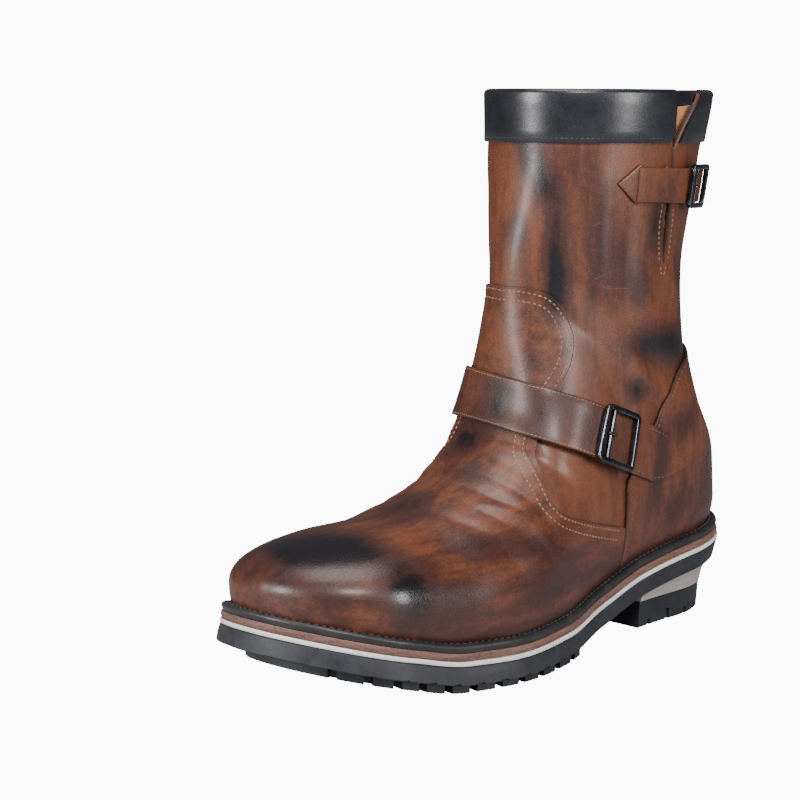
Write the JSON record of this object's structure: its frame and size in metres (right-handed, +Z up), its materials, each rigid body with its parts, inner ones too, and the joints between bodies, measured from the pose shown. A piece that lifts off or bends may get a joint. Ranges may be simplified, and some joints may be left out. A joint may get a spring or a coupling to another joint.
{
  "type": "engineer boot",
  "caption": "Left engineer boot in burnished leather with a welted lug sole, stacked heel, buckled instep strap, buckled collar strap over a side slit, and an inner side zip.",
  "frame": {"origin": "on the floor under the middle of the boot's bounding box", "axes": "+Z up, -Y towards the toe, +X towards the wearer's outer (left) side"},
  "size_m": [0.1196, 0.3066, 0.2719],
  "materials": {
    "burnished_leather": "oiled cognac leather burnished dark brown",
    "black_leather": "smooth black leather",
    "tan_leather": "raw tan flesh side",
    "leather_edge": "brown cut edge",
    "black_welt": "black stitched welt",
    "white_rand": "matte off-white",
    "black_rubber": "matte charcoal black",
    "grey_stack": "grey-beige stacked layers",
    "gunmetal": "polished dark gunmetal",
    "zip_steel": "bright nickel",
    "black_tape": "black woven tape"
  },
  "bodies": {
    "boot": {"collar_band_front": "black_leather", "collar_band_rear": "black_leather", "counter": "burnished_leather", "gusset": "tan_leather", "heel_lift": "black_rubber", "heel_stack": "grey_stack", "insole": "tan_leather", "instep_buckle": "gunmetal", "instep_prong": "gunmetal", "instep_strap": "burnished_leather", "midsole": "leather_edge", "outsole": "black_rubber", "rand": "white_rand", "strap_anchor": "burnished_leather", "top_buckle": "gunmetal", "top_prong": "gunmetal", "top_strap": "burnished_leather", "top_strap_anchor": "burnished_leather", "upper": "burnished_leather", "vamp": "burnished_leather", "welt": "black_welt", "zip_slider": "zip_steel", "zip_tape": "black_tape", "zip_teeth": "zip_steel"},
    "pull_tab": {"zip_pull_tab": "zip_steel"}
  },
  "joints": [
    {"name": "pull_tab_hinge", "type": "hinge", "parent": "boot", "child": "pull_tab", "pos_m": [-0.05653, 0.08, 0.25], "axis": [0, 1, 0], "range_deg": [0, 150]}
  ]
}
